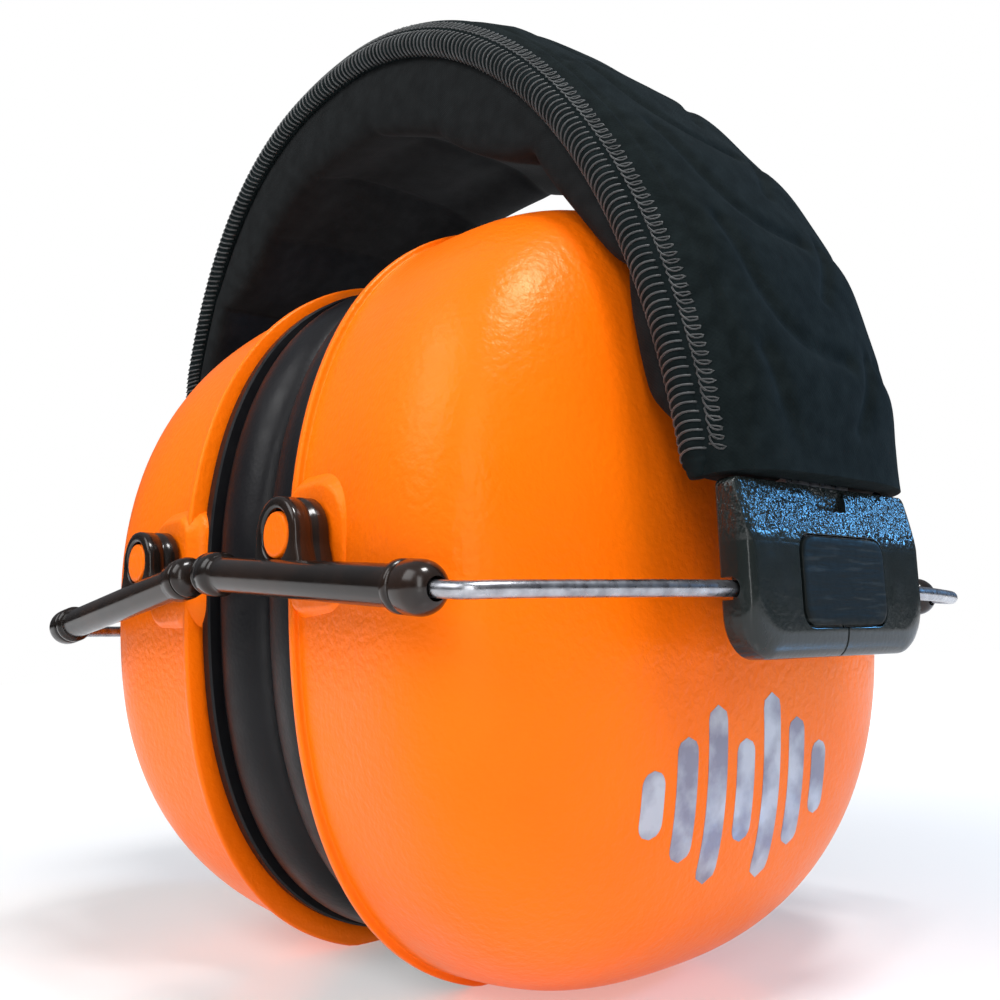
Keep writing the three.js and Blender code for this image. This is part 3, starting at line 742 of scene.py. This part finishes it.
def lug(shape, end):
    """The arched ear with the stud's hole, standing on the tube, grooved and rounded at its edge."""
    x, z, r, foot = STUD["x"], STUD["z"], LUG["radius"], LUG["foot"]
    seat = z - LUG["seat"] - 0.6
    outline = [(x + foot, seat), (x + foot - 0.8, seat + 2.2), (x + r + 0.1, z - 1.4)]
    outline += [(x + r * math.cos(a), z + r * math.sin(a)) for a in np.linspace(0, math.pi, 24)]
    outline += [(x - r - 0.1, z - 1.4), (x - foot + 0.8, seat + 2.6), (x - foot, seat + 0.6),
                (x - foot + 2, seat + 0.1), (x + foot - 2, seat - 0.2)]
    outline = spread(outline, 96, closed=True)
    hole_r = STUD["radius"] + GAP
    angles = np.arctan2(outline[:, 1] - z, outline[:, 0] - x)
    hole = np.column_stack([x + hole_r * np.cos(angles), z + hole_r * np.sin(angles)])
    centre = np.array([x, z])

    def ring(line, y, inset):
        away = line - centre
        length = np.linalg.norm(away, axis=1)[:, None]
        moved = centre + away * (1 - inset / length)
        return np.column_stack([moved[:, 0], np.full(len(line), end * y), moved[:, 1]])

    inner, outer = LUG["inner"], LUG["outer"]
    edge = ((inner, 0.3), (inner + 0.3, 0), (inner + 2.0, 0), (inner + 2.25, 0.25), (inner + 2.6, 0.25),
            (inner + 2.85, 0), (outer - 0.5, 0), (outer - 0.15, 0.15), (outer, 0.5))
    rings = [ring(hole, y, inset) for y, inset in ((inner + 0.2, 0), (inner, -0.2))]
    rings += [ring(outline, y, inset) for y, inset in edge]
    rings += [ring(hole, y, inset) for y, inset in ((outer, -0.35), (outer - 0.12, -0.1), (outer - 0.4, 0))]
    shape.loft(rings, closed=True)


def smooth_curve(points, per_span=24):
    """A centripetal Catmull-Rom curve through points."""
    knots = np.concatenate([[0], np.cumsum(np.sqrt(np.linalg.norm(np.diff(points, axis=0), axis=1)))])
    knots = np.concatenate([[-knots[1]], knots, [2 * knots[-1] - knots[-2]]])
    padded = np.vstack([2 * points[0] - points[1], points, 2 * points[-1] - points[-2]])
    curve = []
    for i in range(1, len(padded) - 2):
        p, k = padded[i - 1:i + 3], knots[i - 1:i + 3]
        for t in np.linspace(k[1], k[2], per_span, endpoint=False):
            a = [p[j] + (p[j + 1] - p[j]) * (t - k[j]) / (k[j + 1] - k[j]) for j in range(3)]
            b = [a[j] + (a[j + 1] - a[j]) * (t - k[j]) / (k[j + 2] - k[j]) for j in range(2)]
            curve.append(b[0] + (b[1] - b[0]) * (t - k[1]) / (k[2] - k[1]))
    return curve + [points[-1]]


def yoke_path():
    """Centre line of the wire: arm, tight corner, bowed crosspiece with a straight middle, and back."""
    origin, axis = arm_line(-1)
    arm = [origin + axis * d for d in (ARM_LENGTH, 20, 2, -3.4)]
    bow = ((55.6, -49.9), (57.4, -47), (60.6, -37), (63.4, -26), (AXLE["x"], -19), (AXLE["x"], -14))
    half = np.vstack([arm, [(x, y, AXLE["z"]) for x, y in bow]])
    return spread(smooth_curve(np.vstack([half, (half * (1, -1, 1))[::-1]])), 300)


def yoke(name, side, look):
    """The bent wire that a cup's sleeves slide on."""
    shape = Shape()
    shape.tube(yoke_path(), WIRE_RADIUS, 24)
    piece(f"yoke_{name}_look", shape, look, f"yoke_{name}", side, [f"yoke_wire_{name}"],
          crease=50)


# ---------------------------------------------------------------- end boxes

def rounded_box_ring(x, half_width, bottom, top, corner, top_corner=1.2):
    """An upright rectangle with rounded corners."""
    corners = ((half_width, bottom, corner, -90), (half_width, top, top_corner, 0),
               (-half_width, top, top_corner, 90), (-half_width, bottom, corner, 180))
    line = []
    for cy, cz, r, start in corners:
        my = cy - math.copysign(r, cy)
        mz = cz + (r if start in (-90, 180) else -r)
        for a in (math.radians(start + 9 * step) for step in range(11)):
            line.append((x, my + r * math.cos(a), mz + r * math.sin(a)))
    return np.array(line)


def settle(target):
    """Applies an object's modifiers to its mesh."""
    graph = bpy.context.evaluated_depsgraph_get()
    graph.update()
    mesh = bpy.data.meshes.new_from_object(target.evaluated_get(graph))
    target.modifiers.clear()
    target.data = mesh


def cut_with(target, shapes, side):
    """Cuts closed shapes out of a target."""
    cutters = []
    for shape in shapes:
        cutters.append(linked("cutter", closed_mesh("cutter", in_frame(shape.joined(), side), shape.faces)))
        modifier = target.modifiers.new("cut", "BOOLEAN")
        modifier.operation, modifier.solver, modifier.object = "DIFFERENCE", "EXACT", cutters[-1]
    settle(target)
    for cutter in cutters:
        bpy.data.objects.remove(cutter)


def block(x0, x1, y0, y1, z0, z1):
    return lofted([[(x, y0, z0), (x, y1, z0), (x, y1, z1), (x, y0, z1)] for x in (x0, x1)])


def end_box(name, side, look):
    """The moulded box on the band's end, with its wire groove, panel recess, parting line and notch."""
    inner, outer, half_width = BOX["inner"], BOX["outer"], BOX["half_width"]
    bottom, top, corner = BOX["bottom"], BOX["top"], BOX["corner"]
    # x, how much narrower than the box, how far the bottom is lifted, and the top's height
    stations = ((inner, 0.35, 0, top), (inner + 0.35, 0, 0, top), (outer - 1.75, 0, 0, top),
                (outer - 1.3, 0.05, 0.15, 62.9), (outer - 0.8, 0.18, 0.6, 60.9),
                (outer - 0.5, 0.32, 1.1, 59.7), (outer - 0.22, 0.6, 1.8, 58.6),
                (outer - 0.05, 1.1, 2.6, 57.6), (outer, 1.7, 3.2, 56.8))
    shape = lofted([rounded_box_ring(x, half_width - narrow, bottom + lift, high, corner)
                    for x, narrow, lift, high in stations])
    made = piece(f"end_box_look_{name}", shape, look, "headband", side, [f"end_box_{name}"])

    groove, past, strip_x = WIRE_RADIUS + GAP, outer + 1, 64.1
    wire_slot = block(inner - 1, AXLE["x"], -25, 25, AXLE["z"] - groove, AXLE["z"] + groove)
    wire_seat = Shape()
    wire_seat.turned([(groove, -25), (groove, 25)], (AXLE["x"], 0, AXLE["z"]), (0, 1, 0), 32)
    p = PANEL
    recess = lofted([rounded_box_ring(x, p["half_width"], p["bottom"], p["top"], p["corner"], p["corner"])
                     for x in (outer - 0.7, past)])
    parting_line = block(outer - 2.2, past, -0.12, 0.12, bottom - 1, p["bottom"] + 0.5)
    notch = lofted([[(x, -3, 61.6), (x, 3, 61.6), (x, 4.2, top + 1), (x, -4.2, top + 1)]
                    for x in (outer - 2.05, past)])
    strip_pocket = block(strip_x - 1.5, strip_x + 1, -7.3, 7.3, 56.2, top + 1)
    cut_with(made, (wire_slot, wire_seat, recess, parting_line, notch, strip_pocket), side)

    bevel = made.modifiers.new("edges", "BEVEL")
    bevel.width, bevel.segments, bevel.limit_method = 0.16 * MM, 2, "ANGLE"
    bevel.angle_limit = math.radians(38)
    settle(made)
    for polygon in made.data.polygons:
        polygon.use_smooth = True
    made.data.set_sharp_from_angle(angle=math.radians(32))
    made.modifiers.new("even", "WEIGHTED_NORMAL").keep_sharp = True
    settle(made)
    made.data.materials.clear()
    made.data.materials.append(look)


def end_panel(name, side, look):
    """The blank panel in the box's recess, its face slightly dished."""
    p, outer = PANEL, BOX["outer"]
    stations = ((-0.4, 0.3), (0.05, 0.3), (0.18, 0.4), (0.25, 0.65), (0.2, 1.3), (0.2, 3.0))
    shape = lofted([rounded_box_ring(outer + dx, p["half_width"] - i, p["bottom"] + i, p["top"] - i, 2, 2)
                    for dx, i in stations])
    piece(f"end_panel_look_{name}", shape, look, "headband", side, [f"end_panel_{name}"],
          crease=35)


# ---------------------------------------------------------------- headband

def arch_point(angle):
    c, s = np.cos(angle), np.sin(angle)
    power = 2 / ARCH["right_power"]
    left = c >= 0
    z = ARCH["base"] + ARCH["rise"] * np.where(left, s, np.abs(s) ** power)
    tucked = TUCK["depth"] * (1 - smoothstep(TUCK["start"], TUCK["end"], z))
    x = ARCH["centre"] + np.where(left, ARCH["left"] * c, -ARCH["right"] * np.abs(c) ** power + tucked)
    return np.stack([x, z], axis=-1)


def arch_angle(z, right):
    share = (z - ARCH["base"]) / ARCH["rise"]
    return math.pi - math.asin(share ** (ARCH["right_power"] / 2)) if right else math.asin(share)


FABRIC_START = arch_angle(BOX["top"] + 0.8, False)
FABRIC_END = arch_angle(BOX["top"] + 0.8, True)


class Band:
    """The band's outer line: for each t, a point, the inward normal, the run from the crown,
    and half the band's width."""

    def __init__(self, count):
        angle = np.linspace(FABRIC_START, FABRIC_END, 4000)
        length = lengths(arch_point(angle))
        at = np.linspace(0, length[-1], count)
        self.t = np.interp(at, length, np.linspace(0, 1, len(angle)))
        angle = FABRIC_START + (FABRIC_END - FABRIC_START) * self.t
        self.point = arch_point(angle)
        ahead, behind = arch_point(angle + 2e-3), arch_point(angle - 2e-3)
        tangent = (ahead - behind) / np.linalg.norm(ahead - behind, axis=1)[:, None]
        self.inward = np.column_stack([-tangent[:, 1], tangent[:, 0]])
        self.run = at - at[np.argmax(self.point[:, 1])]
        self.width = (BAND_WIDTH + (CROWN_WIDTH - BAND_WIDTH) * np.sin(np.pi * self.t) ** 0.8) / 2

    def place(self, y, depth):
        """Points at widths y and depths, arrays of one row for each t."""
        flat = self.point[:, None, :] + self.inward[:, None, :] * depth[..., None]
        return np.stack([flat[..., 0], np.broadcast_to(y, depth.shape), flat[..., 1]], axis=-1)


SHOULDER = 6.2


def outer_depth(share):
    """How far the outer face falls away towards an edge, for a share of the half width."""
    return SHOULDER * (1 - (1 - np.abs(share) ** 3) ** (1 / 3))


def stroke_distance(run, y, points):
    """Distance of each place on the cover from a stroke's line."""
    best = np.full(run.shape, 1e9)
    points = rounded(points, 2)
    for (run0, y0), (run1, y1) in zip(points[:-1], points[1:]):
        ahead, up = run1 - run0, y1 - y0
        t = np.clip(((run - run0) * ahead + (y - y0) * up) / (ahead * ahead + up * up), 0, 1)
        best = np.minimum(best, np.hypot(run - run0 - t * ahead, y - y0 - t * up))
    return best


STROKE_PITCH, FIRST_STROKE = 18.4, 4.4


def emboss(run, y):
    """Depth of the pressed strokes: on each arm, seven repeats of four."""
    pressed = np.zeros(run.shape)
    for arm in (-1, 1):
        for k in range(7):
            at = FIRST_STROKE + STROKE_PITCH * k
            bent = [(at - 4, -12.5), (at + 1, -11.2), (at + 6, -9.4), (at + 11, -6.4), (at + 13, -2),
                    (at + 13.6, 5)]
            short = [(at - 6, 10.8), (at - 1.5, 8.6), (at + 4, 5.2)]
            near_edge, far_edge = [(at - 1, 21.5), (at - 6, 14)], [(at - 2, -21.5), (at - 3.5, -17)]
            strokes = ((bent, 1.3, 0.75), (short, 1.2, 0.8), (near_edge, 1.5, 0.7), (far_edge, 1.4, 0.4))
            for line, wide, deep in strokes:
                far = stroke_distance(arm * run, y, line)
                groove = deep * np.exp(-(far / wide) ** 2)
                pressed = np.maximum(pressed, groove + 0.2 * np.exp(-(far / 4) ** 2))
    return pressed


def section_uv(band, ys, depths):
    """Millimetres along the band and round its section."""
    middle = len(band.t) // 2
    across = lengths(np.column_stack([ys[middle], depths[middle]]))
    return np.stack(np.broadcast_arrays(band.run[:, None], across[None, :]), axis=-1).reshape(-1, 2)


def fullness(band):
    """How far the stuffed cover stands proud of the band's outer line: over the arms, less at their ends."""
    arms = 1 - smoothstep(92, 128, band.point[:, 1])
    return 2.3 * arms * (0.35 + 0.65 * smoothstep(66, 78, band.point[:, 1]))


def band_cover(look):
    """The outer cover: rounded over its shoulders, with pressed strokes and soft puffs between them."""
    band = Band(440)
    half = np.sin(np.linspace(0, math.pi / 2, 64))
    share = np.concatenate([-half[::-1], half[1:]])
    w = band.width[:, None]
    y = w * share
    run = band.run[:, None] * np.ones_like(y)
    inside = smoothstep(0, 0.04, np.minimum(band.t, 1 - band.t))[:, None]
    puff = 0.35 * np.sin(2 * math.pi * np.abs(run) / STROKE_PITCH + 0.8)
    puff = puff * (0.4 + 0.6 * np.sin(y / 9 + 0.5) ** 2)
    ripple = 0.10 * np.sin(run / 2.9 + y / 4.3) * np.cos(y / 3.7)
    fade = inside * (1 - smoothstep(0.74, 0.88, np.abs(share)))
    depth = outer_depth(share) + (emboss(run, y) - puff * 0.7 + ripple) * fade
    depth = depth - fullness(band)[:, None] * (1 - np.abs(share) ** 7)
    valley = 0.35 * np.exp(-((np.abs(share) - 0.83) / 0.02) ** 2)
    depth = depth + valley * inside
    # the hidden underside, from one edge to the other
    under = np.array([0.985, 0.96, 0.92, 0.86, 0.75, 0.5, 0.0])
    under_depth = np.array([7.0, 6.2, 4.9, 3.9, 3.1, 2.7, 2.6])
    under = np.concatenate([under, -under[-2::-1]])
    under_depth = np.concatenate([under_depth, under_depth[-2::-1]]) * np.ones_like(w)
    ys = np.concatenate([y, w * under - np.sign(under) * 0.3], axis=1)
    depths = np.concatenate([depth, under_depth], axis=1)
    piece("band_cover_look", lofted(band.place(ys, depths)), look, "headband",
          replaces=["band_cover"], crease=70, uv=section_uv(band, ys, depths))


PITCH = 1.15
ROLL = dict(depth=6.2, inset=0.75, out=1.6, down=1.95)


def roll_point(band, i, turn, grow):
    """A point on the rolled edge: turn 0 faces out, negative turns face the band's outer side."""
    y = band.width[i] - ROLL["inset"] + (ROLL["out"] + grow) * np.cos(turn)
    depth = ROLL["depth"] + (ROLL["down"] + grow) * np.sin(turn)
    return y, depth


def band_binding(look):
    """The rolled edges, pinched by the thread at each stitch."""
    ends = Band(2).run
    count = int((ends[-1] - ends[0]) / PITCH * 5)
    band = Band(count)
    turns = np.linspace(0, 2 * math.pi, 20, endpoint=False)
    shape = Shape()
    for end in (-1, 1):
        rings = []
        for i in range(count):
            near_end = smoothstep(0, 2.0, min(band.run[i] - band.run[0], band.run[-1] - band.run[i]))
            pinch = 0.16 * abs(math.sin(math.pi * band.run[i] / PITCH)) - 0.16
            y, depth = roll_point(band, i, turns, pinch - 0.5 * (1 - near_end))
            flat = band.point[i] + band.inward[i] * depth[:, None]
            rings.append(np.column_stack([flat[:, 0], end * y, flat[:, 1]]))
        shape.loft(rings)
    piece("band_binding", shape, look, "headband")


def band_stitches(look):
    """Overlock thread over the rolled edges, and a looped second row beside it on the cover."""
    fine = Band(3000)
    first, last = math.ceil(fine.run[0] / PITCH) + 2, math.floor(fine.run[-1] / PITCH) - 2
    at = [int(np.argmin(np.abs(fine.run - k * PITCH))) for k in range(first, last + 1)]
    turns = np.linspace(-1.75, 1.35, 11)
    lean = 0.55 * np.sin(turns) ** 2 + 0.25 * turns
    full = fullness(fine)
    # steps along the band in stitch pitches, and depths below its outer line
    loop = ((-0.2, 4.0), (0.0, 3.4), (0.35, 2.7), (0.6, 2.75), (0.45, 3.5))
    shape = Shape()
    for end in (-1, 1):
        row = []
        for i in at:
            y, depth = roll_point(fine, i, turns, 0.02)
            along = np.array([-fine.inward[i][1], fine.inward[i][0]])
            flat = fine.point[i] + fine.inward[i] * depth[:, None] + along * lean[:, None]
            shape.tube(np.column_stack([flat[:, 0], end * y, flat[:, 1]]), 0.15, 6)
            for step, below in loop:
                share = (1 - (1 - below / SHOULDER) ** 3) ** (1 / 3)
                proud = full[i] * (1 - share ** 7) + 0.04
                flat = fine.point[i] + along * step * PITCH + fine.inward[i] * (below - proud)
                row.append((flat[0], end * (fine.width[i] * share + 0.03), flat[1]))
        shape.tube(spread(rounded(row, 1), len(row) * 2), 0.11, 5)
    piece("band_stitches", shape, look, "headband")


def band_pad(look):
    """The padded lining: sewn in under the rolled edges, and creased across between its lobes."""
    rows, columns = 230, 38
    band = Band(rows)
    w = band.width[:, None]
    reach = np.minimum(band.t, 1 - band.t)[:, None]
    middle = PAD["end"] + (PAD["arm"] - PAD["end"]) * smoothstep(0.0, 0.05, reach)
    middle = middle + (PAD["crown"] - PAD["arm"]) * smoothstep(0.14, 0.32, reach)
    edge = PAD["edge"] * smoothstep(0.012, 0.05, reach)
    lobe = np.abs(np.sin(np.pi * PAD["lobes"] * band.t[:, None])) ** 0.5 * smoothstep(0, 0.03, reach)
    arms = 1 - smoothstep(0.2, 0.3, reach)
    seam = ROLL["depth"] + 1.0
    rim = np.maximum(middle + edge + 0.9 - (1 - lobe) * (3.2 * arms + 0.9), seam + 0.8)
    inner = middle - 0.2 + 1.2 * lobe
    # half the section: up from the seam to the rim, then over to the middle of the inner face
    lines = [(w + dy, seam + (rim - seam) * toward)
             for dy, toward in ((-1.6, 0.0), (-0.55, 0.2), (-0.2, 0.55), (-0.35, 0.85), (-1.2, 1.0))]
    lines += [(w + dy, rim * (1 - toward) + inner * toward)
              for dy, toward in ((-3.6, 0.0), (-6.5, 0.35), (-10, 0.8), (-14, 1.0))]
    ys = np.concatenate([y for y, _ in lines] + [0 * w] + [-y for y, _ in lines[::-1]], axis=1)
    depths = np.concatenate([d for _, d in lines] + [inner] + [d for _, d in lines[::-1]], axis=1)
    seen = np.array([spread(rounded(np.column_stack(line), 2), columns) for line in zip(ys, depths)])
    # the seen line runs from the +Y edge to the -Y edge, and the hidden top runs back
    hidden = np.array([-0.9, -0.6, 0.0, 0.6, 0.9])
    hidden_depth = np.array([4.6, 3.2, 3.0, 3.2, 4.6])
    ys = np.concatenate([seen[..., 0], w * hidden], axis=1)
    depths = np.concatenate([seen[..., 1], hidden_depth * np.ones_like(w)], axis=1)
    shape = lofted(band.place(ys, depths))
    total = columns + len(hidden)
    inflate(shape, total, [0, 1, *range(columns - 2, total)], 1.0)
    made = piece("band_pad_look", shape, look, "headband", replaces=["band_pad"], crease=80,
                 uv=section_uv(band, ys, depths))
    subdivide(made)


# ---------------------------------------------------------------- assembly

add_camera()
add_world()
add_floor()
add_light("key", (0.266, -0.042, 0.648), (0.048, -0.032, 0.089), (0.17, 0.13), 3.0)
add_light("front", (-0.05, -0.5, 0.5), (0.02, 0, 0.07), (0.45, 0.4), 2.3)
add_light("fill", (0.5, -0.47, 0.28), (0.049, -0.042, 0.065), (0.16, 0.5), 1.3)
add_light("sky", (0.305, 0.468, 0.235), (0.069, 0, 0.061), (0.11, 0.07), 1.2, (0.15, 0.50, 1.0))

orange, vinyl, plate, foam = orange_plastic(), cushion_vinyl(), plate_plastic(), absorber_foam()
gloss, steel, satin, panel = sleeve_plastic(), wire_steel(), box_plastic(), panel_plastic()
screw = screw_steel()

cushion_form = cushion_shape()
for name, side in SIDES:
    cup = cup_shell(name, side, orange)
    if name == "left":
        print_bars(cup, silver_print())
    foam_liner(name, side, foam)
    cushion_plate(name, side, plate)
    cushion(name, side, cushion_form, vinyl)
    yoke(name, side, steel)
    for end_name, end in ENDS:
        sleeve(name, side, end_name, end, gloss)
        sleeve_cap(name, side, end_name, end, gloss)
    end_box(name, side, satin)
    end_panel(name, side, panel)

cloth = cover_fabric()
band_cover(cloth)
band_binding(cloth)
band_pad(pad_lining())
band_stitches(seam_thread())

CARRIED = {"band_spring": steel}
for name, _ in SIDES:
    CARRIED[f"end_clamp_{name}"] = satin
    for end_name, _ in ENDS:
        CARRIED[f"clamp_screw_{name}_{end_name}"] = screw
        CARRIED[f"wire_stop_{name}_{end_name}"] = gloss
for node, look in CARRIED.items():
    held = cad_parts[node]
    held.data.materials.clear()
    held.data.materials.append(look)

bpy.context.scene.view_settings.view_transform = "Standard"
